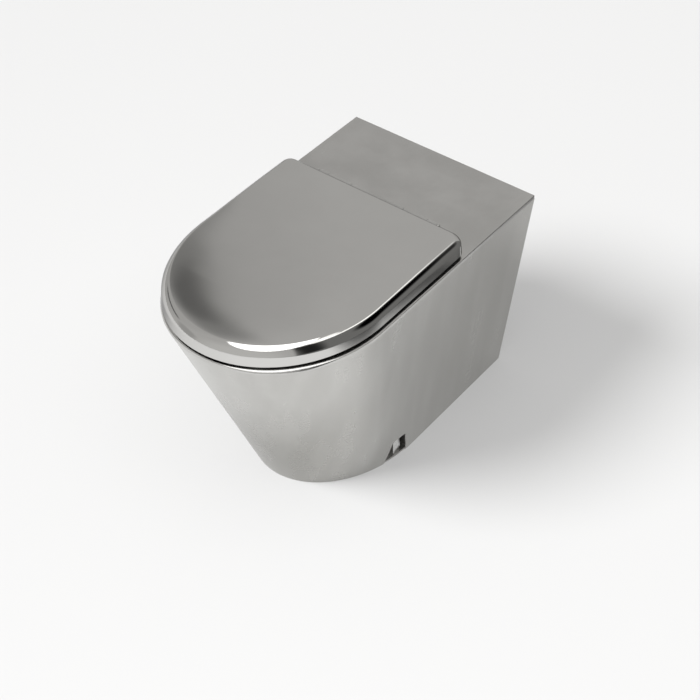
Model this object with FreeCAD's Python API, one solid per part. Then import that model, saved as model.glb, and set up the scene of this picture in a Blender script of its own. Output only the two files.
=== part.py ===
import FreeCAD, Part
import math
import os

# A wall-faced stainless steel toilet. A D-shaped skirt that narrows towards the floor carries a
# flat deck, with the bowl, trap and flush pipe inside it. A seat and a lid that wraps over the
# seat turn on one hinge rod. Millimetres, +Z up, front at -Y. The origin is on the floor, on the
# centre line, midway between the wall face and the front of the lid.

V = FreeCAD.Vector

# Cuts and fits
overrun = 5.0
tolerance = 0.001
fit_gap = 0.2
running_clearance = 0.05
sheet = 1.5

# Skirt and deck
deck_height = 400.0
deck_sheet = 2.0
deck_edge_radius = 1.6
pan_length = 640.0
pan_width = 376.0
pan_nose = 218.0
base_nose = 198.0
side_lean = 44.0
nose_lean = 168.0

# Access notch low on each side, over the floor bolt
notch_ahead = 43.5
notch_width = 52.0
notch_top_width = 32.0
notch_height = 53.0
notch_corner_radius = 10.0

# Floor strip, fixing brackets and rear flange
base_strip = 3.0
base_strip_width = 25.0
bracket_sheet = 2.0
bracket_width = 66.0
bracket_depth = 44.0
bracket_height = 52.0
floor_bolt_inset = 27.0
floor_hole_radius = 5.5
flange_sheet = 2.0
flange_width = 30.0

# Bowl: mouth in the deck, ledge that holds the flush rim, and the shape down to the neck
mouth_width = 244.0
mouth_length = 310.0
mouth_setback = 50.0
ledge_side = 18.0
ledge_end = 15.0
bowl_band = 43.0
bowl_height_shares = (0.0, 0.065, 0.24, 0.5, 0.76, 1.0)
bowl_width_shares = (0.0, 0.06, 0.26, 0.6, 0.88, 1.0)
bowl_length_shares = (0.0, 0.046, 0.215, 0.54, 0.85, 1.0)
bowl_drift_shares = (0.0, 0.0, 0.2, 0.6, 0.91, 1.0)

# Flush rim under the edge of the mouth
rim_drop = 33.0
rim_hole_radius = 3.5
rim_hole_count = 20

# Flush inlet
flush_box_width = 120.0
flush_box_height = 98.0
flush_box_gap = 5.0
flush_slot_width = 90.0
flush_slot_height = 22.0
flush_slot_drop = 6.0
flush_pipe_radius = 30.0
flush_pipe_drop = 63.0
flush_pipe_from_wall = 20.0
seal_bore_radius = 25.0
seal_lip_radius = 34.0
seal_lip = 4.0
seal_depth = 15.0

# Trap and waste outlet
trap_radius = 40.0
trap_bend_radius = 60.0
trap_floor_gap = 10.0
trap_leg = 15.0
neck_setback = 75.0
elbow_tail = 10.0
outlet_radius = 51.0
outlet_cone = 40.0
outlet_from_wall = 20.0

# Lid
lid_inset = 3.0
lid_lift = 7.0
lid_height = 33.0
lid_edge_radius = 16.0
lid_corner_radius = 24.0

# Seat
seat_side_gap = 3.0
seat_swing_gap = 1.5
seat_height = 24.0
seat_edge_radius = 8.0
seat_corner_radius = 18.0
seat_lip = 10.0

# Rubber buffers under the seat and under the lid
buffer_radius = 8.0
buffer_gap = 0.3
side_buffer_turn = 20
front_buffer_turn = -70

# Hinge
hinge_setback = 91.0
fold_clearance = 3.0
rod_radius = 2.5
barrel_radius = 4.0
barrel_gap = 1.0
knuckle_gap = 0.5
pillar_spacing = 155.0
pillar_width = 47.0
pillar_foot = 2.0
pillar_foot_length = 28.0
gasket = 0.5
lid_knuckle_width = 19.0
lid_tab = 6.0
rod_cap = 3.5
rod_cap_wall = 1.5
rod_cap_edge_radius = 1.0
arm_inner_x = 20.0
arm_width = 24.0
arm_sheet = 4.0
arm_drop = 2.0
arm_notch_gap = 2.0
arm_notch_rise = 1.0

# Hinge fixings through the deck
stud_radius = 4.0
stud_length = 50.0
stud_hole_gap = 0.5
doubler_sheet = 3.0
doubler_margin = 42.0
doubler_length = 36.0
washer_radius = 10.0
washer_sheet = 1.6
nut_flats = 13.0
nut_height = 6.5

# Places worked out from the sizes above
wall_y = pan_length / 2
skirt_top = deck_height - deck_sheet
pan_half = pan_width / 2
base_half = pan_half - side_lean
pan_nose_y = wall_y - pan_length + pan_nose
base_nose_y = wall_y - pan_length + nose_lean + base_nose
notch_y = base_nose_y - notch_ahead
mouth_half = mouth_width / 2
mouth_reach = mouth_length / 2
mouth_y = wall_y - pan_length + mouth_setback + mouth_reach
bowl_half = mouth_half + ledge_side
bowl_reach = mouth_reach + ledge_end
trap_bend_z = trap_floor_gap + trap_radius + trap_bend_radius
neck_y = mouth_y + neck_setback
neck_z = trap_bend_z + trap_leg
rise_y = neck_y + 2 * trap_bend_radius
elbow_end_y = rise_y + trap_bend_radius
outlet_z = neck_z + trap_bend_radius
lid_bottom = deck_height + lid_lift
lid_top = lid_bottom + lid_height
lid_half = pan_half - lid_inset
lid_nose = pan_nose - lid_inset
hinge_y = mouth_y + mouth_reach + hinge_setback
flush_box_y = hinge_y - doubler_length / 2 - flush_box_gap
flush_pipe_z = skirt_top - flush_pipe_drop
hinge_z = deck_height + (lid_lift + lid_height + fold_clearance) / 2
lid_rear_y = hinge_y - barrel_radius - barrel_gap
lid_swing = math.hypot(hinge_y - lid_rear_y + sheet, hinge_z - lid_bottom)
seat_rear_y = hinge_y - lid_swing - seat_swing_gap
seat_inset = sheet + seat_side_gap
seat_half = lid_half - seat_inset
seat_nose = lid_nose - seat_inset
seat_top = lid_bottom + seat_height
seat_hole_half = mouth_half - seat_lip
seat_hole_reach = mouth_reach - seat_lip
pillar_x = pillar_spacing / 2
pillar_inner_x = pillar_x - pillar_width / 2
pillar_outer_x = pillar_x + pillar_width / 2
lid_knuckle_x = pillar_outer_x + knuckle_gap
rod_cap_x = lid_knuckle_x + lid_knuckle_width + knuckle_gap
arm_top = hinge_z - arm_drop
foot_top = deck_height + gasket + pillar_foot
floor_bolt_x = base_half - floor_bolt_inset
buffer_half = (seat_hole_half + seat_half) / 2
buffer_reach = (seat_hole_reach + mouth_y - pan_nose_y + seat_nose) / 2
buffer_turns = [side_buffer_turn, 180 - side_buffer_turn, front_buffer_turn, 180 - front_buffer_turn]
sides = {"left": -1, "right": 1}


def oval_edge(half_width, reach, centre_y, z, start=0, end=360):
    """Part of an oval in a level plane, between two angles counted from +X, longer either way."""
    curve = Part.Ellipse(V(0, centre_y, z), max(half_width, reach), min(half_width, reach))
    turn = 0 if half_width > reach else 270
    curve.AngleXU = math.radians(turn)
    if end - start == 360:
        return curve.toShape()
    return Part.ArcOfEllipse(curve, math.radians(start - turn), math.radians(end - turn)).toShape()


def oval_wire(half_width, reach, centre_y, z):
    return Part.Wire([oval_edge(half_width, reach, centre_y, z)])


def oval_block(half_width, reach, centre_y, bottom, top):
    return Part.Face(oval_wire(half_width, reach, centre_y, bottom)).extrude(V(0, 0, top - bottom))


def d_wire(half_width, nose, nose_y, rear_y, z, corner=0):
    """D outline: oval nose to the front, straight sides, square or rounded rear corners."""
    edges = [oval_edge(half_width, nose, nose_y, z, 180, 360)]
    side_end = rear_y - corner
    rear_end = half_width - corner
    inset = corner * (1 - math.sqrt(2) / 2)
    edges.append(Part.makeLine(V(half_width, nose_y, z), V(half_width, side_end, z)))
    if corner:
        middle = V(half_width - inset, rear_y - inset, z)
        edges.append(Part.Arc(V(half_width, side_end, z), middle, V(rear_end, rear_y, z)).toShape())
    edges.append(Part.makeLine(V(rear_end, rear_y, z), V(-rear_end, rear_y, z)))
    if corner:
        middle = V(inset - half_width, rear_y - inset, z)
        edges.append(Part.Arc(V(-rear_end, rear_y, z), middle, V(-half_width, side_end, z)).toShape())
    edges.append(Part.makeLine(V(-half_width, side_end, z), V(-half_width, nose_y, z)))
    return Part.Wire(edges)


def d_block(half_width, nose, nose_y, rear_y, bottom, top, corner=0):
    outline = d_wire(half_width, nose, nose_y, rear_y, bottom, corner)
    return Part.Face(outline).extrude(V(0, 0, top - bottom))


def box(x0, x1, y0, y1, z0, z1):
    return Part.makeBox(x1 - x0, y1 - y0, z1 - z0, V(x0, y0, z0))


def upright(radius, x, y, bottom, top):
    return Part.makeCylinder(radius, top - bottom, V(x, y, bottom), V(0, 0, 1))


def along_hinge(radius, x0, x1):
    """Round bar on the hinge axis between two places across the toilet."""
    return Part.makeCylinder(radius, x1 - x0, V(x0, hinge_y, hinge_z), V(1, 0, 0))


def along_y(radius, y0, y1, z):
    return Part.makeCylinder(radius, y1 - y0, V(0, y0, z), V(0, 1, 0))


def span(side, near, far):
    """The two ends, left first, of a stretch given by its distances from the centre line."""
    return sorted((side * near, side * far))


def level_edges(shape, z):
    bounds = [(edge, edge.BoundBox) for edge in shape.Edges]
    return [e for e, b in bounds if abs(b.ZMin - z) < tolerance and abs(b.ZMax - z) < tolerance]


def level_long_edges(shape, z):
    """Edges at one height that run across the toilet."""
    return [edge for edge in level_edges(shape, z) if edge.BoundBox.XLength > tolerance]


def skirt_block(bottom, top, inset, rear_y):
    """The leaning outline of the skirt between two heights, brought in by a wall thickness."""
    wires = []
    for z in (top, bottom):
        rise_share = z / skirt_top
        half_width = base_half + (pan_half - base_half) * rise_share - inset
        nose = base_nose + (pan_nose - base_nose) * rise_share - inset
        nose_y = base_nose_y + (pan_nose_y - base_nose_y) * rise_share
        wires.append(d_wire(half_width, nose, nose_y, rear_y, z))
    return Part.makeLoft(wires, True, True)


def notch_block():
    """The access notch drawn from the side and pushed right across both walls."""
    outline = [
        V(-pan_half, notch_y - notch_width / 2, 0),
        V(-pan_half, notch_y - notch_top_width / 2, notch_height),
        V(-pan_half, notch_y + notch_top_width / 2, notch_height),
        V(-pan_half, notch_y + notch_width / 2, 0),
    ]
    outline.append(outline[0])
    block = Part.Face(Part.makePolygon(outline)).extrude(V(pan_width, 0, 0))
    return block.makeFillet(notch_corner_radius, level_long_edges(block, notch_height))


def pan_skirt():
    outside = skirt_block(0, skirt_top, 0, wall_y)
    inside = skirt_block(-overrun, skirt_top + overrun, sheet, wall_y + overrun)
    return outside.cut(inside).cut(notch_block())


def stud_places():
    return [(side * pillar_x, hinge_y) for side in sides.values()]


def cut_studs(shape, bottom, top):
    for x, y in stud_places():
        shape = shape.cut(upright(stud_radius + stud_hole_gap, x, y, bottom - overrun, top + overrun))
    return shape


def top_deck():
    plate = d_block(pan_half, pan_nose, pan_nose_y, wall_y, skirt_top, deck_height)
    rim = [e for e in level_edges(plate, deck_height) if e.BoundBox.YMin < wall_y - tolerance]
    plate = plate.makeFillet(deck_edge_radius, rim)
    mouth = oval_block(mouth_half, mouth_reach, mouth_y, skirt_top - overrun, deck_height + overrun)
    return cut_studs(plate.cut(mouth), skirt_top, deck_height)


def bowl_form(inset, bottom_extra, top_extra):
    """Solid form of the bowl, brought in by a wall: an upright band over a shape drawn in to the neck."""
    band_z = skirt_top - bowl_band
    wires = []
    rows = zip(bowl_height_shares, bowl_width_shares, bowl_length_shares, bowl_drift_shares)
    for height_share, width_share, length_share, drift_share in rows:
        half_width = trap_radius + (bowl_half - trap_radius) * width_share - inset
        reach = trap_radius + (bowl_reach - trap_radius) * length_share - inset
        centre_y = neck_y + (mouth_y - neck_y) * drift_share
        wires.append(oval_wire(half_width, reach, centre_y, neck_z + (band_z - neck_z) * height_share))
    form = Part.makeLoft(wires, True, False)
    band = oval_block(bowl_half - inset, bowl_reach - inset, mouth_y, band_z, skirt_top + top_extra)
    form = form.fuse(band)
    if bottom_extra:
        form = form.fuse(upright(trap_radius - inset, 0, neck_y, neck_z - bottom_extra, neck_z))
    return form


def bowl():
    shell = bowl_form(0, 0, 0).cut(bowl_form(sheet, overrun, overrun))
    slot_top = skirt_top - flush_slot_drop
    half_slot = flush_slot_width / 2
    slot = box(-half_slot, half_slot, mouth_y, flush_box_y, slot_top - flush_slot_height, slot_top)
    return shell.cut(slot)


def flush_rim():
    """A band hung from the edge of the mouth, turned out below to a drilled ledge."""
    ledge_z = skirt_top - rim_drop
    outer_half = bowl_half - sheet - fit_gap
    outer_reach = bowl_reach - sheet - fit_gap
    band = oval_block(mouth_half + sheet, mouth_reach + sheet, mouth_y, ledge_z, skirt_top)
    ledge = oval_block(outer_half, outer_reach, mouth_y, ledge_z, ledge_z + sheet)
    bore = oval_block(mouth_half, mouth_reach, mouth_y, ledge_z - overrun, skirt_top + overrun)
    rim = band.fuse(ledge).cut(bore)
    hole_half = (mouth_half + sheet + outer_half) / 2
    hole_reach = (mouth_reach + sheet + outer_reach) / 2
    for index in range(rim_hole_count):
        turn = 2 * math.pi * (index + 0.5) / rim_hole_count
        x = hole_half * math.cos(turn)
        y = mouth_y + hole_reach * math.sin(turn)
        rim = rim.cut(upright(rim_hole_radius, x, y, ledge_z - overrun, ledge_z + sheet + overrun))
    return rim


def flush_box():
    """Sheet box behind the bowl that spreads the flush into the rim, open to the slot."""
    half = flush_box_width / 2
    bottom = skirt_top - flush_box_height
    block = box(-half, half, mouth_y, flush_box_y, bottom, skirt_top)
    inner_half = half - sheet
    back_y = flush_box_y - sheet
    hollow = box(-inner_half, inner_half, mouth_y, back_y, bottom + sheet, skirt_top + overrun)
    shell = block.cut(hollow).cut(bowl_form(-fit_gap, overrun, overrun))
    bore = along_y(flush_pipe_radius - sheet, back_y - overrun, flush_box_y + overrun, flush_pipe_z)
    shell = shell.cut(bore)
    return max(shell.Solids, key=lambda solid: solid.Volume)


def tube_along_y(outer, inner, y0, y1, z):
    return along_y(outer, y0, y1, z).cut(along_y(inner, y0 - overrun, y1 + overrun, z))


def flush_inlet_pipe():
    end = wall_y - flush_pipe_from_wall
    return tube_along_y(flush_pipe_radius, flush_pipe_radius - sheet, flush_box_y, end, flush_pipe_z)


def flush_inlet_seal():
    """Rubber sleeve pushed into the inlet pipe, with a lip against its end."""
    pipe_end = wall_y - flush_pipe_from_wall
    sleeve = along_y(flush_pipe_radius - sheet, pipe_end - seal_depth, pipe_end, flush_pipe_z)
    lip = along_y(seal_lip_radius, pipe_end, pipe_end + seal_lip, flush_pipe_z)
    bore_start = pipe_end - seal_depth - overrun
    bore = along_y(seal_bore_radius, bore_start, pipe_end + seal_lip + overrun, flush_pipe_z)
    return sleeve.fuse(lip).cut(bore)


def pipe_ring(y, z, direction):
    """Cross-section of the trap pipe, facing along a direction."""
    outer = Part.Face(Part.Wire([Part.makeCircle(trap_radius, V(0, y, z), direction)]))
    inner = Part.Face(Part.Wire([Part.makeCircle(trap_radius - sheet, V(0, y, z), direction)]))
    return outer.cut(inner)


def trap_bend():
    """Water trap: down from the bowl, round the bottom and up again."""
    down = pipe_ring(neck_y, neck_z, V(0, 0, 1)).extrude(V(0, 0, -trap_leg))
    centre = V(0, neck_y + trap_bend_radius, trap_bend_z)
    turn = pipe_ring(neck_y, trap_bend_z, V(0, 0, 1)).revolve(centre, V(1, 0, 0), 180)
    up = pipe_ring(rise_y, trap_bend_z, V(0, 0, 1)).extrude(V(0, 0, trap_leg))
    return down.multiFuse([turn, up])


def trap_elbow():
    """Bend from the rising leg of the trap to the rear."""
    centre = V(0, elbow_end_y, neck_z)
    turn = pipe_ring(rise_y, neck_z, V(0, 0, 1)).revolve(centre, V(-1, 0, 0), 90)
    tail = pipe_ring(elbow_end_y, outlet_z, V(0, 1, 0)).extrude(V(0, elbow_tail, 0))
    return turn.fuse(tail)


def outlet_spigot():
    """Waste outlet that widens from the trap to a standard pipe."""
    start = elbow_end_y + elbow_tail
    straight = start + outlet_cone
    end = wall_y - outlet_from_wall
    origin = V(0, start, outlet_z)
    cone = Part.makeCone(trap_radius, outlet_radius, outlet_cone, origin, V(0, 1, 0))
    bore = Part.makeCone(trap_radius - sheet, outlet_radius - sheet, outlet_cone, origin, V(0, 1, 0))
    tube = tube_along_y(outlet_radius, outlet_radius - sheet, straight, end, outlet_z)
    return cone.cut(bore).fuse(tube)


def floor_holes(bottom, top):
    holes = [upright(floor_hole_radius, side * floor_bolt_x, notch_y, bottom - overrun, top + overrun)
             for side in sides.values()]
    return Part.makeCompound(holes)


def base_frame():
    """Flat strip round the inside of the skirt's foot, drilled for the floor bolts."""
    end = wall_y - flange_sheet
    outer = skirt_block(0, base_strip, sheet, end)
    inner = skirt_block(-overrun, base_strip + overrun, sheet + base_strip_width, end + overrun)
    return outer.cut(inner).cut(floor_holes(0, base_strip))


def fixing_bracket(side):
    """Channel over a floor bolt: a drilled foot and two cheeks that meet the skirt beside the notch."""
    foot_z = base_strip
    inner_x = base_half - sheet - bracket_depth
    profile = [
        V(inner_x, 0, foot_z),
        V(inner_x, 0, foot_z + bracket_sheet),
        V(base_half, 0, foot_z + bracket_height),
        V(pan_half, 0, foot_z + bracket_height),
        V(pan_half, 0, foot_z),
        V(inner_x, 0, foot_z),
    ]
    block = Part.Face(Part.makePolygon(profile)).extrude(V(0, bracket_width, 0))
    block.translate(V(0, notch_y - bracket_width / 2, 0))
    half_inside = bracket_width / 2 - bracket_sheet
    channel = box(0, pan_width, notch_y - half_inside, notch_y + half_inside,
                  foot_z + bracket_sheet, foot_z + bracket_height + overrun)
    block = block.cut(channel)
    if side < 0:
        block = block.mirror(V(0, 0, 0), V(1, 0, 0))
    block = block.common(skirt_block(0, foot_z + bracket_height + overrun, sheet + fit_gap, wall_y))
    return block.cut(floor_holes(foot_z, foot_z + bracket_sheet)).Solids[0]


def rear_flange():
    """Frame of flat bar that closes the skirt's edge against the wall."""
    front = wall_y - flange_sheet
    slab = skirt_block(0, skirt_top, sheet, wall_y + overrun)
    window = skirt_block(-overrun, skirt_top - flange_width, sheet + flange_width, wall_y + overrun)
    frame = slab.cut(window)
    return frame.common(box(-pan_half, pan_half, front, wall_y, 0, skirt_top))


def hinge_doubler():
    """Plate under the deck that spreads the load of the hinge."""
    half = pillar_x + doubler_margin
    bottom = skirt_top - doubler_sheet
    plate = box(-half, half, hinge_y - doubler_length / 2, hinge_y + doubler_length / 2, bottom, skirt_top)
    return cut_studs(plate, bottom, skirt_top)


def foot_plate(side, bottom, top):
    x0, x1 = span(side, pillar_inner_x, pillar_outer_x)
    half = pillar_foot_length / 2
    return box(x0, x1, hinge_y - half, hinge_y + half, bottom, top)


def hinge_pillar(side):
    """Upright with a foot on the deck and a barrel that grips the rod."""
    x0, x1 = span(side, pillar_inner_x, pillar_outer_x)
    foot = foot_plate(side, deck_height + gasket, foot_top)
    web = box(x0, x1, hinge_y - barrel_radius, hinge_y + barrel_radius, foot_top, hinge_z)
    pillar = foot.multiFuse([web, along_hinge(barrel_radius, x0, x1)])
    return pillar.cut(along_hinge(rod_radius, x0 - overrun, x1 + overrun))


def hinge_gaskets():
    pads = [foot_plate(side, deck_height, deck_height + gasket) for side in sides.values()]
    return Part.makeCompound([cut_studs(pad, deck_height, deck_height + gasket) for pad in pads])


def hinge_studs():
    top = deck_height + gasket
    return Part.makeCompound([upright(stud_radius, x, y, top - stud_length, top) for x, y in stud_places()])


def hinge_washers():
    top = skirt_top - doubler_sheet
    washers = [upright(washer_radius, x, y, top - washer_sheet, top) for x, y in stud_places()]
    return Part.makeCompound([cut_studs(washer, top - washer_sheet, top) for washer in washers])


def hinge_nuts():
    top = skirt_top - doubler_sheet - washer_sheet
    bottom = top - nut_height
    corner_radius = nut_flats / math.sqrt(3)
    turns = [math.radians(60 * index) for index in range(7)]
    nuts = []
    for x, y in stud_places():
        arms = [(corner_radius * math.cos(turn), corner_radius * math.sin(turn)) for turn in turns]
        corners = [V(x + dx, y + dy, bottom) for dx, dy in arms]
        nut = Part.Face(Part.makePolygon(corners)).extrude(V(0, 0, nut_height))
        nuts.append(nut.cut(upright(stud_radius, x, y, bottom - overrun, top + overrun)))
    return Part.makeCompound(nuts)


def hinge_rod():
    end = rod_cap_x + rod_cap - rod_cap_wall
    return along_hinge(rod_radius, -end, end)


def flat_at(edge, x):
    """True for an edge that lies wholly in one upright plane across the hinge axis."""
    bounds = edge.BoundBox
    return abs(bounds.XMin - x) < tolerance and abs(bounds.XMax - x) < tolerance


def hinge_rod_caps():
    """Two round caps on the ends of the rod, each with its outer edge eased."""
    caps = []
    for side in sides.values():
        x0, x1 = span(side, rod_cap_x, rod_cap_x + rod_cap)
        cap = along_hinge(barrel_radius, x0, x1)
        outer_x = side * (rod_cap_x + rod_cap)
        rim = [edge for edge in cap.Edges if flat_at(edge, outer_x)]
        caps.append(cap.makeFillet(rod_cap_edge_radius, rim).cut(hinge_rod()))
    return Part.makeCompound(caps)


def seat_form(inset, bottom, top):
    """Ring of the seat, brought in by a wall on every side, with both upper edges rounded."""
    rear_y = seat_rear_y - inset
    corner = seat_corner_radius - inset
    ring = d_block(seat_half - inset, seat_nose - inset, pan_nose_y, rear_y, bottom, top, corner)
    hole_half = seat_hole_half + inset
    hole_reach = seat_hole_reach + inset
    ring = ring.cut(oval_block(hole_half, hole_reach, mouth_y, bottom - overrun, top + overrun))
    return ring.makeFillet(seat_edge_radius - inset, level_edges(ring, top))


def seat_ring():
    """Pressed ring, open underneath."""
    outside = seat_form(0, lid_bottom, seat_top)
    return outside.cut(seat_form(sheet, lid_bottom - overrun, seat_top - sheet))


def seat_hinge_tube():
    end = pillar_inner_x - knuckle_gap
    bore = rod_radius + running_clearance
    return along_hinge(barrel_radius, -end, end).cut(along_hinge(bore, -end - overrun, end + overrun))


def seat_arm(side):
    """Flat arm from the rear of the seat to the hinge tube, under the lid's rear edge."""
    x0, x1 = span(side, arm_inner_x, arm_inner_x + arm_width)
    arm = box(x0, x1, seat_rear_y, hinge_y, arm_top - arm_sheet, arm_top)
    return arm.cut(along_hinge(barrel_radius, x0 - overrun, x1 + overrun))


def buffers(bottom, top):
    """Round pads on an oval midway between the hole and the outline of the seat."""
    pads = []
    for turn in buffer_turns:
        x = buffer_half * math.cos(math.radians(turn))
        y = mouth_y + buffer_reach * math.sin(math.radians(turn))
        pads.append(upright(buffer_radius, x, y, bottom, top))
    return Part.makeCompound(pads)


def seat_buffers():
    return buffers(deck_height + buffer_gap, seat_top - sheet)


def lid_form(inset, bottom, top):
    """Outer form of the lid, brought in by a wall, with its upper edge rounded all round."""
    rear_y = lid_rear_y - inset
    corner = lid_corner_radius - inset
    block = d_block(lid_half - inset, lid_nose - inset, pan_nose_y, rear_y, bottom, top, corner)
    return block.makeFillet(lid_edge_radius - inset, level_edges(block, top))


def lid_shell():
    """Pressed lid, open underneath, with two notches at the rear for the seat arms."""
    shell = lid_form(0, lid_bottom, lid_top).cut(lid_form(sheet, lid_bottom - overrun, lid_top - sheet))
    for side in sides.values():
        x0, x1 = span(side, arm_inner_x - arm_notch_gap, arm_inner_x + arm_width + arm_notch_gap)
        shell = shell.cut(box(x0, x1, seat_rear_y, hinge_y, lid_bottom - overrun, arm_top + arm_notch_rise))
    return shell


def lid_knuckle(side):
    """Barrel on the rod with a tab welded to the rear of the lid."""
    x0, x1 = span(side, lid_knuckle_x, lid_knuckle_x + lid_knuckle_width)
    tab = box(x0, x1, lid_rear_y, hinge_y, arm_top - lid_tab, arm_top)
    knuckle = tab.fuse(along_hinge(barrel_radius, x0, x1))
    return knuckle.cut(along_hinge(rod_radius + running_clearance, x0 - overrun, x1 + overrun))


def lid_buffers():
    return buffers(seat_top + buffer_gap, lid_top - sheet)


def all_pieces():
    pieces = {
        "pan_skirt": pan_skirt(),
        "top_deck": top_deck(),
        "bowl": bowl(),
        "flush_rim": flush_rim(),
        "flush_box": flush_box(),
        "flush_inlet_pipe": flush_inlet_pipe(),
        "flush_inlet_seal": flush_inlet_seal(),
        "trap_bend": trap_bend(),
        "trap_elbow": trap_elbow(),
        "outlet_spigot": outlet_spigot(),
        "base_frame": base_frame(),
        "rear_flange": rear_flange(),
        "hinge_doubler": hinge_doubler(),
        "hinge_gaskets": hinge_gaskets(),
        "hinge_studs": hinge_studs(),
        "hinge_washers": hinge_washers(),
        "hinge_nuts": hinge_nuts(),
        "hinge_rod": hinge_rod(),
        "hinge_rod_caps": hinge_rod_caps(),
        "seat_ring": seat_ring(),
        "seat_hinge_tube": seat_hinge_tube(),
        "seat_buffers": seat_buffers(),
        "lid_shell": lid_shell(),
        "lid_buffers": lid_buffers(),
    }
    for name, side in sides.items():
        pieces["fixing_bracket_" + name] = fixing_bracket(side)
        pieces["hinge_pillar_" + name] = hinge_pillar(side)
        pieces["seat_arm_" + name] = seat_arm(side)
        pieces["lid_knuckle_" + name] = lid_knuckle(side)
    return pieces


os.makedirs("parts", exist_ok=True)
for node, shape in all_pieces().items():
    solids = shape.Solids
    piece = solids[0] if len(solids) == 1 else Part.makeCompound(solids)
    piece.exportStep("parts/" + node + ".step")
    size = shape.optimalBoundingBox(False)
    print(node, len(solids), "solids, valid", shape.isValid(), "volume %.0f" % shape.Volume,
          "box %.1f %.1f %.1f to %.1f %.1f %.1f" % (size.XMin, size.YMin, size.ZMin,
                                                   size.XMax, size.YMax, size.ZMax))
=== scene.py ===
"""A wall-faced stainless steel toilet: smooth sheet-metal skins over the CAD frame, in metres.

The part's sizes below are in millimetres and become metres when a mesh is made. Every skin is a grid of
points worked out with numpy: rows go round the piece, columns follow its profile.
"""

import math

import bpy
import numpy as np
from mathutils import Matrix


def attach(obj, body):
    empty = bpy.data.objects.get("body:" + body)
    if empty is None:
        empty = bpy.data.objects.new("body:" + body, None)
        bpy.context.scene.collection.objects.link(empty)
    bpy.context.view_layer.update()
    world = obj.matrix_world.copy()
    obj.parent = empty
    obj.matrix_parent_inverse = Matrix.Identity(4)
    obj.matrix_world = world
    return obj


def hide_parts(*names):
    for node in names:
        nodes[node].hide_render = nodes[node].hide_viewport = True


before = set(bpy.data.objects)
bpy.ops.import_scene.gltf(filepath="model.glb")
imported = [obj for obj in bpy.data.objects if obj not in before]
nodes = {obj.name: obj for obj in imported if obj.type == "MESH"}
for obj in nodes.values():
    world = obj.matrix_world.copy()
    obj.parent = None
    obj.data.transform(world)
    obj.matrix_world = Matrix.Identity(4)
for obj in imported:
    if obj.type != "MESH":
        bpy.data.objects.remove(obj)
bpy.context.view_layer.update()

MM = 0.001

# Meshes: points closer than the seam slack merge, edges that turn more than the crease stay sharp
seam_slack, crease, on_line = 0.002, 38.0, 0.001
nose_steps, side_steps, corner_steps, exact_digits = 161, 26, 15, 12

# Pan
sheet, wall_y = 1.5, 320.0
deck_top, skirt_top, flange_top = 400.0, 393.0, 398.0
pan_half, pan_nose, pan_nose_y, pan_power = 188.0, 214.0, -102.0, 2.04
base_half, base_nose, base_nose_y, base_power = 144.0, 198.0, 46.0, 2.0
notch_y, notch_half, notch_top_half, notch_height, notch_round = 2.5, 26.0, 16.0, 53.0, 10.0
notch_run = notch_half - notch_top_half
lean_end, top_start = notch_run - 0.1, notch_run + 0.5
front_steps, lean_steps, notch_steps, behind_steps = 90, 12, 18, 40
rise_steps, rise_crowding = 34, 1.25
mouth_half, mouth_reach, mouth_y, mouth_round = 122.0, 155.0, -115.0, 1.0
deck_corner, deck_rear, deck_rear_steps = 1.5, (4.0, 180.0), 24
deck_round_steps, deck_steps = 12, 26
tab_x, tab_y, tab_foot, tab_width, tab_height, tab_steps, tab_bend = 136.0, 10.0, 5.0, 20.0, 38.0, 48, 0.35
tab_size_shares = (0.0, 0.5, 0.97, 1.0, 1.0, 0.97, 0.5, 0.0)
tab_depth_shares = (1.0, 1.0, 1.0, 0.8, 0.2, 0.0, 0.0, 0.0)

# Easing of the deck's edge: its width and its drop, at distances round the edge from the tip of the nose
easing_at = (0.0, 45.0, 90.0, 145.0, 172.0, 421.0)
easing_width, easing_drop = (3.0, 3.5, 10.0, 10.0, 5.0, 1.1), (1.8, 2.2, 7.0, 7.0, 1.8, 1.8)

# Lid
lid_half, lid_nose, lid_rear_y, lid_corner, lid_power = 185.0, 214.5, 126.0, 24.0, 2.02
lid_bottom, lid_top, lid_edge, lid_draft = 407.0, 440.0, 16.0, 1.8
lid_crown, crown_power, crown_from_y, crown_full_y = 1.9, 4.0, 60.0, -120.0
spine_front_y, spine_rear_y = -210.0, 45.0
roll_radii, roll_leans, roll_steps = (5.0, 35.0, 12.0), (33.0, 62.0, 84.0), (8, 14, 8)
arm_notch_inner, arm_notch_outer, arm_notch_top, arm_notch_step, arm_notch_steps = 18.0, 46.0, 420.5, 0.2, 5
lid_rear_middle, lid_rear_outside, lid_rear_steps = (4.0, 11.0), (56.0, 154.0), 12
lid_top_steps, lid_top_crowding, lid_wall_steps = 36, 1.3, 7

# Seat
seat_half, seat_nose, seat_rear_y, seat_corner = 180.5, 210.5, 113.6, 18.0
seat_bottom, seat_top, seat_edge = 407.0, 431.0, 8.0
seat_hole_half, seat_hole_reach = 112.0, 145.0
seat_rear, seat_rear_steps, seat_round_steps, seat_steps = (6.0, 160.0), 14, 9, 14

# Staging, in metres and degrees
floor_near, floor_far, floor_left = -9.0, 9.0, -12.0
floor_reach, floor_lean, floor_dark_from, floor_dark_to, floor_white = 0.9, -0.536, 0.74, 0.88, 0.3
view_azimuth, view_elevation, view_distance, view_target = 37.51, 41.92, 2.7865, (0.0, 0.0609, 0.2073)
view_lens, view_sensor, view_shift = 83.75, 36.0, (-0.00214, -0.0469)


# Shader trees


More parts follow.
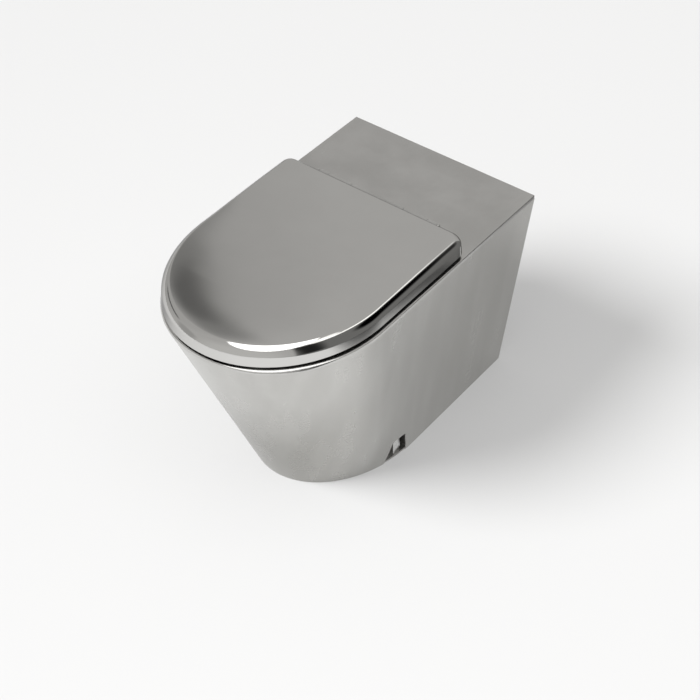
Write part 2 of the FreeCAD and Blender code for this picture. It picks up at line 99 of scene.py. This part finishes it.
class Value:
    """A number on a socket. Sums, differences and products add Math nodes to its tree."""

    def __init__(self, finish, socket):
        self.finish = finish
        self.socket = socket

    def _math(self, operation, first, second):
        return self.finish.node("ShaderNodeMath", {"operation": operation}, {0: first, 1: second})

    def __add__(self, other):
        return self._math("ADD", self, other)

    def __radd__(self, other):
        return self._math("ADD", other, self)

    def __sub__(self, other):
        return self._math("SUBTRACT", self, other)

    def __mul__(self, other):
        return self._math("MULTIPLY", self, other)

    def __rmul__(self, other):
        return self._math("MULTIPLY", other, self)


class Finish:
    """A material and its tree. node() adds one node: its type, its settings, then its sockets."""

    def __init__(self, name, tree=None):
        if tree is None:
            self.material = bpy.data.materials.new(name)
            self.material.use_nodes = True
            tree = self.material.node_tree
        self.tree = tree
        self.tree.nodes.clear()

    def node(self, kind, settings, sockets, out=0):
        made = self.tree.nodes.new(kind)
        for key, setting in settings.items():
            setattr(made, key, setting)
        for key, given in sockets.items():
            if isinstance(given, Value):
                self.tree.links.new(given.socket, made.inputs[key])
            else:
                made.inputs[key].default_value = given
        return Value(self, made.outputs[out]) if made.outputs else None

    def along(self, axis):
        """The Object coordinate along X, Y or Z."""
        place = self.node("ShaderNodeTexCoord", {}, {}, "Object")
        return self.node("ShaderNodeSeparateXYZ", {}, {"Vector": place}, axis)

    def noise(self, scale, detail=3.0, roughness=0.55):
        """Noise from 0 to 1 on Object coordinates, with its own scale along each axis."""
        place = self.node("ShaderNodeTexCoord", {}, {}, "Object")
        stretched = self.node("ShaderNodeMapping", {}, {"Vector": place, "Scale": scale})
        sockets = {"Vector": stretched, "Scale": 1.0, "Detail": detail, "Roughness": roughness}
        return self.node("ShaderNodeTexNoise", {}, sockets, "Fac")

    def even_noise(self, scale, detail=3.0, roughness=0.55):
        """Noise with one scale along all axes."""
        return self.noise((scale, scale, scale), detail, roughness)

    def ramp(self, value, low, high):
        """0 at low, 1 at high, and a smooth step between them."""
        settings = {"interpolation_type": "SMOOTHSTEP"}
        return self.node("ShaderNodeMapRange", settings, {"Value": value, "From Min": low, "From Max": high})

    def colours(self, share, first, second):
        """A mix of two colours by a share from 0 to 1."""
        sockets = {"Factor": share, 6: (*first, 1), 7: (*second, 1)}
        return self.node("ShaderNodeMix", {"data_type": "RGBA"}, sockets, 2)

    def bump(self, height, distance, strength, under=None):
        """A normal from a height, on top of another normal where one is given."""
        sockets = {"Height": height, "Distance": distance, "Strength": strength}
        if under is not None:
            sockets["Normal"] = under
        return self.node("ShaderNodeBump", {}, sockets)

    def surface(self, sockets):
        shader = self.node("ShaderNodeBsdfPrincipled", {}, sockets)
        self.node("ShaderNodeOutputMaterial", {}, {"Surface": shader})
        return self.material


def polished_steel(name="polished_steel"):
    """Mirror-finish steel: faint polishing lines, faint haze and a slow ripple of the pressing."""
    dull, bright, at_edge = (0.625, 0.62, 0.605), (0.69, 0.685, 0.67), (0.42, 0.42, 0.42, 1)
    line_depth, ripple_depth = 0.00002, 0.0004
    finish = Finish(name)
    haze = finish.even_noise(9.0)
    lines = finish.noise((900.0, 25.0, 900.0), 2.0)
    slow = finish.bump(finish.even_noise(11.0, 1.0), ripple_depth, 0.5)
    return finish.surface({
        "Base Color": finish.colours(haze, dull, bright),
        "Metallic": 1.0,
        "Specular Tint": at_edge,
        "Roughness": 0.045 + 0.03 * haze + 0.02 * lines,
        "Normal": finish.bump(lines, line_depth, 0.4, slow),
    })


def satin_steel(name, grain):
    """Satin steel: fine grain stretched along the sheet, cloudy hand marks that dull it, a slow ripple."""
    dull, bright = (0.55, 0.545, 0.53), (0.66, 0.655, 0.64)
    line_depth, ripple_depth = 0.00003, 0.0012
    finish = Finish(name)
    lines = finish.noise(grain)
    marks = finish.ramp(finish.noise((9.0, 9.0, 5.0), 4.0, 0.55), 0.32, 0.7)
    slow = finish.bump(finish.even_noise(5.0, 1.0), ripple_depth, 0.5)
    return finish.surface({
        "Base Color": finish.colours(0.7 * marks + 0.3 * lines, dull, bright),
        "Metallic": 1.0,
        "Roughness": 0.21 + 0.04 * marks + 0.04 * lines,
        "Normal": finish.bump(lines, line_depth, 0.5, slow),
    })


def skirt_steel(name="skirt_steel"):
    """Satin steel of the skirt: level grain, soft upright streaks, and painted shade at the foot of the nose,
    which is also a little rougher there.

    The painted shade at the foot stands for the darker floor mirrored near the base and fades out going up and
    going back; painted shade also darkens the rear of the sides.
    """
    dull, bright = (0.35, 0.345, 0.325), (0.60, 0.595, 0.575)
    line_depth, ripple_depth = 0.00003, 0.0012
    # Painted shade at the foot of the nose: the heights and places where it starts and where it is full
    foot_shade_top, foot_shade_full_z, foot_shade_back, foot_shade_full_y = 0.34, 0.04, -0.04, -0.2
    # Painted shade on the rear of the sides: the places where it starts and where it is full
    rear_shade_from, rear_shade_full = -0.05, 0.24
    finish = Finish(name)
    lines = finish.noise((12.0, 12.0, 800.0))
    streaks = finish.ramp(finish.noise((26.0, 26.0, 2.4), 3.0, 0.5), 0.3, 0.72)
    cloud = finish.even_noise(6.0)
    low = finish.ramp(finish.along("Z"), foot_shade_top, foot_shade_full_z)
    # Painted shade: darker low on the nose, for the darker floor it mirrors near the base
    foot_shade = low * finish.ramp(finish.along("Y"), foot_shade_back, foot_shade_full_y)
    # Painted shade: the rear of the sides darker, for the shadowed floor beside them that they mirror
    rear = finish.ramp(finish.along("Y"), rear_shade_from, rear_shade_full)
    share = 0.66 + 0.20 * streaks + 0.10 * cloud + 0.04 * lines - 0.95 * foot_shade - 0.42 * rear
    slow = finish.bump(finish.even_noise(5.0, 1.0), ripple_depth, 0.5)
    return finish.surface({
        "Base Color": finish.colours(share, dull, bright),
        "Metallic": 1.0,
        "Roughness": 0.21 + 0.05 * streaks + 0.04 * foot_shade + 0.03 * lines,
        "Normal": finish.bump(lines, line_depth, 0.5, slow),
    })


def dull_steel(name="pickled_steel"):
    """Unpolished steel of the hidden pipes and brackets: mill grain, cloudy stains."""
    dull, bright, line_depth = (0.44, 0.435, 0.42), (0.58, 0.575, 0.56), 0.00004
    finish = Finish(name)
    lines = finish.noise((40.0, 500.0, 500.0))
    stains = finish.ramp(finish.even_noise(22.0, 5.0, 0.65), 0.3, 0.75)
    return finish.surface({
        "Base Color": finish.colours(stains, dull, bright),
        "Metallic": 1.0,
        "Roughness": 0.34 + 0.12 * stains + 0.06 * lines,
        "Normal": finish.bump(lines, line_depth, 0.5),
    })


def bright_zinc(name="bright_zinc"):
    """Zinc-plated steel: pale, with a faint spangle and duller clouds."""
    dull, bright, spangle_depth = (0.86, 0.86, 0.85), (0.96, 0.96, 0.95), 0.00004
    finish = Finish(name)
    spangle = finish.even_noise(260.0, 2.0)
    clouds = finish.ramp(finish.even_noise(60.0), 0.35, 0.7)
    return finish.surface({
        "Base Color": finish.colours(0.5 * spangle + 0.5 * clouds, dull, bright),
        "Metallic": 1.0,
        "Roughness": 0.24 + 0.08 * clouds,
        "Normal": finish.bump(spangle, spangle_depth, 0.4),
    })


def grey_rubber(name="grey_rubber"):
    """Matt rubber with a fine moulded tooth and paler scuffs."""
    dark, pale, tooth_depth = (0.045, 0.045, 0.047), (0.11, 0.11, 0.11), 0.00006
    finish = Finish(name)
    tooth = finish.even_noise(900.0, 2.0)
    scuffs = finish.ramp(finish.even_noise(120.0, 4.0), 0.45, 0.8)
    return finish.surface({
        "Base Color": finish.colours(scuffs, dark, pale),
        "Roughness": 0.62 + 0.2 * scuffs,
        "Normal": finish.bump(tooth, tooth_depth, 0.6),
    })


lid_steel = polished_steel()
side_steel = skirt_steel()
deck_steel = satin_steel("satin_steel_deck", (900.0, 12.0, 12.0))
bowl_steel = satin_steel("satin_steel_bowl", (14.0, 14.0, 700.0))
pipe_steel = dull_steel()
zinc = bright_zinc()
rubber = grey_rubber()


# Grids and meshes


def place_in_scene(name, data):
    """An object for some data, linked to the scene."""
    made = bpy.data.objects.new(name, data)
    bpy.context.scene.collection.objects.link(made)
    return made


def make_piece(name, grid, body, finish, replaced, round_closed=True, profile_closed=False, caps=False):
    """A mesh from a grid of points in millimetres, rows round the piece and columns along its profile.

    Each cell is one face, ordered so that it faces out where rows turn anticlockwise seen from above
    and columns go out and down. Equal points merge, so poles and seams close. Caps close the first row
    and the last.
    """
    rows, columns = grid.shape[:2]
    index = np.arange(rows * columns).reshape(rows, columns)
    near = np.arange(rows if round_closed else rows - 1)[:, None]
    left = np.arange(columns if profile_closed else columns - 1)[None, :]
    beside, after = (near + 1) % rows, (left + 1) % columns
    cells = np.stack([index[near, left], index[near, after], index[beside, after], index[beside, left]], -1)
    faces = cells.reshape(-1, 4).tolist()
    if caps:
        faces += [index[0, ::-1].tolist(), index[-1].tolist()]
    mesh = bpy.data.meshes.new(name)
    mesh.from_pydata((grid.reshape(-1, 3) * MM).tolist(), [], faces)
    piece = place_in_scene(name, mesh)
    weld = piece.modifiers.new("close_seams", "WELD")
    weld.merge_threshold = seam_slack * MM
    mesh.polygons.foreach_set("use_smooth", np.ones(len(mesh.polygons), bool))
    mesh.set_sharp_from_angle(angle=math.radians(crease))
    mesh.materials.append(finish)
    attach(piece, body)
    if replaced:
        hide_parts(*replaced)


def mirrored(places):
    """A rising list of places on one side of zero, with its mirror image before it."""
    places = np.asarray(places, float)
    return np.concatenate([-places[::-1], places])


def signed_power(value, power):
    """The size of a value raised to a power, with the value's sign."""
    return np.sign(value) * np.abs(value) ** power


def smooth(share):
    """A smooth step from 0 to 1: 3 s^2 - 2 s^3."""
    return share * share * (3 - 2 * share)


def d_outline(half_width, nose, nose_y, rear_y, corner, rear_places, power=2.0):
    """Points and outward directions round a D, anticlockwise from the left end of its nose.

    The nose is half of the oval |x/a|^n + |y/b|^n = 1: x = a cos t and y = b sin t, with cosine and sine
    raised to 2/n. Its outward direction has them raised to 2 - 2/n and divided by a and b.
    Straight sides run back to quarter-circle corners, and the rear edge takes the places given along X.
    """
    t = np.linspace(math.pi, 2 * math.pi, nose_steps)
    c, s = np.round(np.cos(t), exact_digits), np.sin(t)
    s[[0, -1]] = 0
    e = 2 / power
    nose_points = np.stack([half_width * signed_power(c, e), nose_y + nose * signed_power(s, e)], 1)
    nose_out = np.stack([signed_power(c, 2 - e) / half_width, signed_power(s, 2 - e) / nose], 1)
    side_y = np.linspace(nose_y, rear_y - corner, side_steps)[1:-1]
    ones = np.ones_like(side_y)
    turn = np.linspace(0, math.pi / 2, corner_steps)
    arc = np.stack([np.cos(turn), np.sin(turn)], 1)
    right_corner = np.array([half_width - corner, rear_y - corner]) + corner * arc
    rear_x = np.asarray(rear_places, float)[::-1]
    flip = np.array([-1.0, 1.0])
    points = [nose_points, np.stack([half_width * ones, side_y], 1), right_corner,
              np.stack([rear_x, rear_y + 0 * rear_x], 1), (right_corner * flip)[::-1],
              np.stack([-half_width * ones, side_y], 1)[::-1]]
    outward = [nose_out, np.stack([ones, 0 * ones], 1), arc, np.stack([0 * rear_x, 1 + 0 * rear_x], 1),
               (arc * flip)[::-1], np.stack([-ones, 0 * ones], 1)[::-1]]
    outward = np.concatenate(outward)
    return np.concatenate(points), outward / np.linalg.norm(outward, axis=1)[:, None]


def lifted(flat, heights):
    """Flat points of a grid given a height each."""
    heights = np.broadcast_to(heights, flat.shape[:2])
    return np.concatenate([flat, heights[..., None]], 2)


def inset(points, outward, depths):
    """A grid of outline points, each moved in against its outward direction by every depth.

    Depths are one list for all points, or a list for each.
    """
    return points[:, None] - np.atleast_2d(depths)[..., None] * outward[:, None]


def between(start, end, shares):
    """A grid of points on the straight lines from start points to end points, at the given shares."""
    shares = np.asarray(shares, float)[None, :, None]
    return start[:, None, :] * (1 - shares) + end[:, None, :] * shares


def rounded(radius, steps):
    """Depth in from the face and drop from the top along a quarter-round edge, from the top down."""
    angle = np.linspace(0, math.pi / 2, steps)
    return radius * (1 - np.sin(angle)), radius * (1 - np.cos(angle))


def lid_skin():
    """The lid: a top slightly domed towards the nose, a rolled edge, a wall with two notches, and its inside.

    Top points lie on lines from the rolled edge to a spine on the centre line. Along a line the top falls
    by the crown times a power of the share of the way out, and the crown fades out towards the hinge. The
    roll is three arcs, each taking over at the lean where the one before ended, from the slope of the top
    to nearly upright, and the wall below it flares a little.
    """
    notch = [arm_notch_inner - arm_notch_step, *np.linspace(arm_notch_inner, arm_notch_outer, arm_notch_steps),
             arm_notch_outer + arm_notch_step]
    rear = mirrored([*lid_rear_middle, *notch, *np.linspace(*lid_rear_outside, lid_rear_steps)])
    points, outward = d_outline(lid_half, lid_nose, pan_nose_y, lid_rear_y, lid_corner, rear, lid_power)
    from_middle, margin = np.abs(points[:, 0]), arm_notch_step / 2
    in_notch = (from_middle > arm_notch_inner - margin) & (from_middle < arm_notch_outer + margin)
    in_notch &= points[:, 1] > lid_rear_y - on_line
    wall_end = np.where(in_notch, arm_notch_top, lid_bottom)[:, None]
    draft = np.where(in_notch, 0, lid_draft)[:, None]
    shares = np.linspace(0, 1, lid_top_steps) ** lid_top_crowding
    steps = np.linspace(0, 1, lid_wall_steps)[None, 1:]
    leans = np.radians([0, *roll_leans])
    arcs = [np.linspace(leans[i], leans[i + 1], count + 1)[1:] for i, count in enumerate(roll_steps)]
    arcs = np.concatenate(arcs)[None]
    radii = np.repeat(roll_radii, roll_steps)[None]

    def one_face(wall):
        edge = points - outward * lid_edge
        spine = np.stack([0 * edge[:, 0], np.clip(edge[:, 1], spine_front_y, spine_rear_y)], 1)
        part = np.clip((crown_from_y - edge[:, 1]) / (crown_from_y - crown_full_y), 0, 1)
        crown = lid_crown * smooth(part)[:, None]
        top = between(edge, spine, shares)[:, ::-1]
        top_z = lid_top - wall - crown * (1 - shares[None, ::-1]) ** crown_power
        slope = np.arctan(crown * crown_power / np.linalg.norm(edge - spine, axis=1)[:, None])
        first_arc = slope + arcs * (1 - slope / leans[1])
        lean = np.concatenate([slope, np.where(arcs < leans[1], first_arc, arcs)], 1)
        out = np.cumsum(radii * np.diff(np.sin(lean), axis=1), 1)
        down = np.cumsum(-radii * np.diff(np.cos(lean), axis=1), 1)
        scale = (lid_edge - lid_draft - wall) / out[:, -1:]
        roll = edge[:, None] + outward[:, None] * (scale * out)[..., None]
        roll_z = top_z[:, -1:] - scale * down
        wall_z = roll_z[:, -1:] + (wall_end - roll_z[:, -1:]) * steps
        flared = roll[:, -1:] + outward[:, None] * (draft * steps)[..., None]
        return lifted(np.concatenate([top, roll, flared], 1), np.concatenate([top_z, roll_z, wall_z], 1))

    grid = np.concatenate([one_face(0), one_face(sheet)[:, ::-1]], 1)
    make_piece("lid_skin", grid, "lid", lid_steel, ["lid_shell"])


def ring_across(points, hole_half, hole_reach, hole_y):
    """The point and outward direction on an oval hole that faces each outline point."""
    t = np.arctan2((points[:, 1] - hole_y) / hole_reach, points[:, 0] / hole_half)
    hole = np.stack([hole_half * np.cos(t), hole_y + hole_reach * np.sin(t)], 1)
    away = -np.stack([np.cos(t) / hole_half, np.sin(t) / hole_reach], 1)
    return hole, away / np.linalg.norm(away, axis=1)[:, None]


def seat_skin():
    """The seat: a pressed ring with both upper edges rolled, open underneath.

    The profile climbs the hole's wall, rolls onto the top, runs out along the line between facing points
    of hole and outline, rolls down the outer wall, and comes back one sheet thickness inside.
    """
    rear = mirrored(np.linspace(*seat_rear, seat_rear_steps))
    points, outward = d_outline(seat_half, seat_nose, pan_nose_y, seat_rear_y, seat_corner, rear)
    hole, away = ring_across(points, seat_hole_half, seat_hole_reach, mouth_y)
    shares = np.linspace(0, 1, seat_steps)[1:-1]

    def one_face(wall):
        depth, drop = rounded(seat_edge - wall, seat_round_steps)
        outer = inset(points, outward, depth + wall)
        inner = inset(hole, away, depth + wall)
        top = between(inner[:, 0], outer[:, 0], shares)
        high = seat_top - wall
        level = high - drop
        flat = np.concatenate([inner[:, -1:], inner[:, ::-1], top, outer, outer[:, -1:]], 1)
        heights = np.concatenate([[seat_bottom], level[::-1], high + 0 * shares, level, [seat_bottom]])
        return lifted(flat, heights)

    grid = np.concatenate([one_face(0), one_face(sheet)[:, ::-1]], 1)
    make_piece("seat_skin", grid, "seat", lid_steel, ["seat_ring"], profile_closed=True)


def deck_skin():
    """The deck: a flat plate with an oval mouth and eased edges, on lines from the mouth to the outline.

    The easing of the outer edge is a quarter oval, largest on the shoulders of the nose and narrow behind
    the lid. The edge wall ends on the skirt, and at the rear on the flange.
    """
    rear = mirrored(np.linspace(*deck_rear, deck_rear_steps))
    points, outward = d_outline(pan_half, pan_nose, pan_nose_y, wall_y, deck_corner, rear, pan_power)
    hole, away = ring_across(points, mouth_half, mouth_reach, mouth_y)
    depth, drop = rounded(mouth_round, deck_round_steps)
    quarter_in, quarter_down = rounded(1, deck_round_steps)
    from_tip = np.abs(points[:, 0]) + np.clip(points[:, 1] - pan_nose_y, 0, None)
    deep = np.interp(from_tip, easing_at, easing_width)[:, None] * quarter_in
    low = np.interp(from_tip, easing_at, easing_drop)[:, None] * quarter_down
    outer = inset(points, outward, deep)
    inner = inset(hole, away, depth)
    shares = np.linspace(0, 1, deck_steps)[1:-1]
    top = between(inner[:, 0], outer[:, 0], shares)
    flat = np.concatenate([inner[:, -1:], inner[:, ::-1], top, outer, outer[:, -1:]], 1)
    across = np.concatenate([[skirt_top], deck_top - drop[::-1], deck_top + 0 * shares])
    foot = np.where(points[:, 1] > wall_y - on_line, flange_top, skirt_top)[:, None]
    heights = np.concatenate([across + 0 * foot, deck_top - low, foot], 1)
    make_piece("deck_skin", lifted(flat, heights), "pan", deck_steel, ["top_deck"],
               profile_closed=True)


def notch_heights(y):
    """Height of the access notch at each place along the side: leaning sides, rounded corners, flat top."""
    across = np.abs(y - notch_y)
    lean = math.atan2(notch_run, notch_height)
    centre = notch_top_half - notch_round * math.tan((math.pi / 2 - lean) / 2)
    slope = (notch_half - across) * notch_height / notch_run
    arc = notch_height - notch_round + np.sqrt(np.clip(notch_round ** 2 - (across - centre) ** 2, 0, None))
    touch = centre + notch_round * math.cos(lean)
    top = np.where(across < centre, notch_height, np.where(across < touch, arc, slope))
    return np.clip(top, 0, None)


def skirt_skin():
    """The skirt: a leaning D wall open at the rear, with an arched notch at the foot of each side.

    At a share of the height, half width a, nose b and nose place c are mixes of their values at floor and
    deck. A place q along the wall is x = a cos q, y = c + b sin q on the nose (q below 0), with cosine and
    sine raised to 2/n, and x = a, y = c + q (wall - c) behind it. The power n is a mix too. Rows follow one
    q at the front and one y from the notch back.
    """
    foot_front, foot_rear = notch_y - notch_half, notch_y + notch_half
    lean = np.linspace(0, lean_end, lean_steps)
    top = np.linspace(foot_front + top_start, foot_rear - top_start, notch_steps)
    behind = np.linspace(foot_rear, wall_y, behind_steps)[1:]
    notch_q = math.asin((foot_front - base_nose_y) / base_nose)
    front_q = np.linspace(-math.pi / 2, notch_q, front_steps)[:-1]
    front_y = base_nose_y + base_nose * np.sin(front_q)
    ys = np.concatenate([front_y, foot_front + lean, top, foot_rear - lean[::-1], behind])
    start = notch_heights(ys)[:, None] / skirt_top
    rise = np.linspace(0, 1, rise_steps)[None] ** rise_crowding
    share = start + (1 - start) * rise
    a, b, c, n = (low + (high - low) * share for low, high in (
        (base_half, pan_half), (base_nose, pan_nose), (base_nose_y, pan_nose_y), (base_power, pan_power)))
    e = 2 / n
    offset = ys[:, None] - c
    forward = np.clip(offset / b, -1, 0)
    steady = np.where(offset < 0, np.arcsin(signed_power(forward, 1 / e)), offset / (wall_y - c))
    kept = np.concatenate([front_q, 0 * ys[len(front_q):]])[:, None]
    pull = smooth(np.clip(np.arange(len(ys)) / len(front_q), 0, 1))[:, None]
    q = np.where(pull < 1, kept * (1 - pull) + steady * pull, steady)
    on_nose = np.minimum(q, 0)
    cosine, sine = np.clip(np.cos(on_nose), 0, 1) ** e, signed_power(np.sin(on_nose), e)

    def one_face(wall):
        x = (a - wall) * np.where(q < 0, cosine, 1)
        y = c + np.where(q < 0, (b - wall) * sine, q * (wall_y - c))
        x[0] = 0
        right = np.stack([x, y, skirt_top * share], 2)
        left = right[:0:-1] * np.array([-1.0, 1.0, 1.0])
        return np.concatenate([left, right], 0)

    grid = np.concatenate([one_face(0)[:, ::-1], one_face(sheet)], 1)
    make_piece("skirt_skin", grid, "pan", side_steel, ["pan_skirt"],
               round_closed=False, profile_closed=True, caps=True)


def bracket_tab(name, side):
    """The upright tab of a floor bracket, seen through the notch: a plate with rounded corners.

    Its outline is y = w c, z = h s, where c and s are the cosine and sine of an angle round it, each raised
    to a small power with its sign kept. Columns go from the middle of one face to the middle of the other.
    """
    angle = np.linspace(0, 2 * math.pi, tab_steps + 1)[:-1]
    outline = np.stack([signed_power(np.cos(angle), tab_bend) * tab_width / 2,
                        signed_power(np.sin(angle), tab_bend) * tab_height / 2], 1)
    middle = np.array([tab_y, tab_foot + tab_height / 2])
    flat = outline[:, None] * np.array(tab_size_shares)[None, :, None] + middle
    x = side * (tab_x + sheet * np.array(tab_depth_shares))
    grid = np.concatenate([np.broadcast_to(x, flat.shape[:2])[..., None], flat], 2)
    make_piece(name, grid[::side], "pan", zinc, [])


lid_skin()
seat_skin()
deck_skin()
skirt_skin()
bracket_tab("bracket_tab_right", 1)
bracket_tab("bracket_tab_left", -1)


# CAD nodes that show as they are, by the start of their names; the rest is pipe steel

node_finishes = (
    (("bowl", "flush_rim"), bowl_steel),
    (("lid_knuckle", "seat_hinge", "seat_arm", "hinge_rod", "hinge_pillar"), deck_steel),
    (("flush_inlet_seal", "hinge_gaskets", "seat_buffers", "lid_buffers"), rubber),
)

for name, node in nodes.items():
    finish = next((given for starts, given in node_finishes if name.startswith(starts)), pipe_steel)
    for place in range(max(1, len(node.material_slots))):
        if len(node.data.materials) <= place:
            node.data.materials.append(finish)
        else:
            node.data.materials[place] = finish


# Floor, light and camera


def floor():
    """A wide level floor, one grid of four points: pale paper, whitened in part where it is looked at.

    Its right edge slants along the right of the view, x = reach + lean y, and the paper darkens towards it.
    """
    dark, pale, white = (0.06, 0.06, 0.06), (0.5, 0.5, 0.5), (1.0, 1.0, 1.0, 1)
    near, far = ((floor_reach + floor_lean * y, y, 0) for y in (floor_near, floor_far))
    mesh = bpy.data.meshes.new("floor")
    mesh.from_pydata([(floor_left, floor_near, 0), near, far, (floor_left, floor_far, 0)], [], [(0, 1, 2, 3)])
    plane = place_in_scene("floor", mesh)
    finish = Finish("pale_floor")
    across = finish.along("X") - floor_lean * finish.along("Y")
    light = finish.ramp(across, floor_dark_to, floor_dark_from)
    paper = finish.node("ShaderNodeBsdfDiffuse", {}, {"Color": finish.colours(light, dark, pale)})
    glow = finish.node("ShaderNodeEmission", {}, {"Color": white, "Strength": 1.0})
    camera_ray, glossy_ray, transmission_ray = (
        finish.node("ShaderNodeLightPath", {}, {}, ray)
        for ray in ("Is Camera Ray", "Is Glossy Ray", "Is Transmission Ray"))
    share = floor_white * light * (camera_ray + glossy_ray + transmission_ray)
    mixed = finish.node("ShaderNodeMixShader", {}, {"Fac": share, 1: paper, 2: glow})
    finish.node("ShaderNodeOutputMaterial", {}, {"Surface": mixed})
    mesh.materials.append(finish.material)


def direction_turn(aim):
    """Turn about X then Z that points a lamp's or camera's -Z axis along a direction."""
    x, y, z = aim / np.linalg.norm(aim)
    return (math.acos(-z), 0.0, math.atan2(-x, y))


def lamp(name, place, target, width, depth, power):
    """A soft oval lamp at a place, turned to face a point."""
    data = bpy.data.lights.new(name, "AREA")
    data.shape = "ELLIPSE"
    data.size, data.size_y, data.energy = width, depth, power
    made = place_in_scene(name, data)
    made.location = place
    made.rotation_euler = direction_turn(np.subtract(target, place))


def sun(name, place, spread, power):
    """An even light from the side of a place, for the floor and its shadow: no bright disc in the steel."""
    data = bpy.data.lights.new(name, "SUN")
    data.angle, data.energy = math.radians(spread), power
    made = place_in_scene(name, data)
    made.rotation_euler = direction_turn(-np.array(place))
    made.visible_glossy = False


def towards(turn, fall):
    """The direction at an angle round from +X and an angle down from straight up, in degrees."""
    turn, fall = math.radians(turn), math.radians(fall)
    return np.array([math.sin(fall) * math.cos(turn), math.sin(fall) * math.sin(turn), math.cos(fall)])


# The studio's level, and what adds to it or takes from it. A patch has a strength, a direction (turn and
# fall) and the angles where it is full and gone. A streak has a strength, its two ends and its half width.
studio_level, studio_colour = 0.53, (1.0, 0.99, 0.97, 1)
streak_full_share, streak_gone_share = 0.7, 1.3
studio_patches = (
    (0.10, (-80, 80), 20, 50),
    (-0.05, (180, 55), 20, 40),
    (-0.20, (32.5, 69), 8, 16),
    (-0.10, (138, 48.4), 1, 4.5),
    (-0.065, (138, 48.4), 2, 9),
    (1.0, (12, 37), 3, 7),
    (1.0, (-3, 37.5), 4, 8),
    (-0.12, (222, 80), 6, 16),
)
studio_streaks = (
    (-0.20, (136.8, 40), (140.4, 57), 4.2),
    (1.3, (2, 42), (46, 59), 3.2),
    (-0.36, (176, 78), (204, 70), 3),
)
# The dark right of the studio lies on the near sides of two planes through its middle
right_strength, right_sides = -0.33, (((0.733, -0.201, -0.650), 3), ((0.545, 0.839, 0.0), 4))
right_streak = (-0.18, (-18, 40), (-18, 95), 14)


def sky():
    """A grey studio: paler on the left, dark on the right, with small patches that the lid's edge mirrors.

    A patch is full within one angle of its direction and gone by another, stepped on the cosine. A streak
    is a narrow band along the great circle through two directions, kept near the middle of the two.
    """
    world = bpy.data.worlds.new("studio")
    bpy.context.scene.world = world
    world.use_nodes = True
    light = Finish("studio", world.node_tree)
    way = light.node("ShaderNodeTexCoord", {}, {}, "Generated")

    def along(direction):
        return light.node("ShaderNodeVectorMath", {"operation": "DOT_PRODUCT"}, {0: way, 1: direction}, "Value")

    def side(direction, soft):
        return light.ramp(along(direction), 0.0, math.sin(math.radians(soft)))

    def patch(direction, full, gone):
        return light.ramp(along(direction), math.cos(math.radians(gone)), math.cos(math.radians(full)))

    def streak(first, second, width):
        first, second = towards(*first), towards(*second)
        across, middle = (v / np.linalg.norm(v) for v in (np.cross(first, second), first + second))
        off = along(across)
        reach = math.degrees(math.acos(np.dot(first, middle)))
        band = light.ramp(off * off, math.sin(math.radians(width)) ** 2, 0.0)
        return band * patch(middle, streak_full_share * reach, streak_gone_share * reach)

    first_side, second_side = (side(direction, soft) for direction, soft in right_sides)
    right = first_side * second_side
    level = studio_level + right_strength * right
    level = level + right_streak[0] * right * streak(*right_streak[1:])
    for strength, direction, full, gone in studio_patches:
        level = level + strength * patch(towards(*direction), full, gone)
    for strength, *ends_and_width in studio_streaks:
        level = level + strength * streak(*ends_and_width)
    glow = light.node("ShaderNodeBackground", {}, {"Color": studio_colour, "Strength": level})
    light.node("ShaderNodeOutputWorld", {}, {"Surface": glow})


def camera():
    """The photograph's view: azimuth, elevation and distance from a target, lens and small shift."""
    back = towards(view_azimuth - 90, 90 - view_elevation)
    data = bpy.data.cameras.new("view")
    data.lens, data.sensor_width = view_lens, view_sensor
    data.shift_x, data.shift_y = view_shift
    made = place_in_scene("view", data)
    made.location = np.array(view_target) + back * view_distance
    made.rotation_euler = direction_turn(-back)
    bpy.context.scene.camera = made


floor()
sky()
lamp("overhead", place=(0.614, -1.05, 2.3), target=(0.614, -1.049, 0), width=2.05, depth=2.34, power=20.4)
sun("left", place=(-1.2, -1.75, 2.0), spread=25, power=5.1)
camera()
bpy.context.scene.view_settings.view_transform = "Standard"
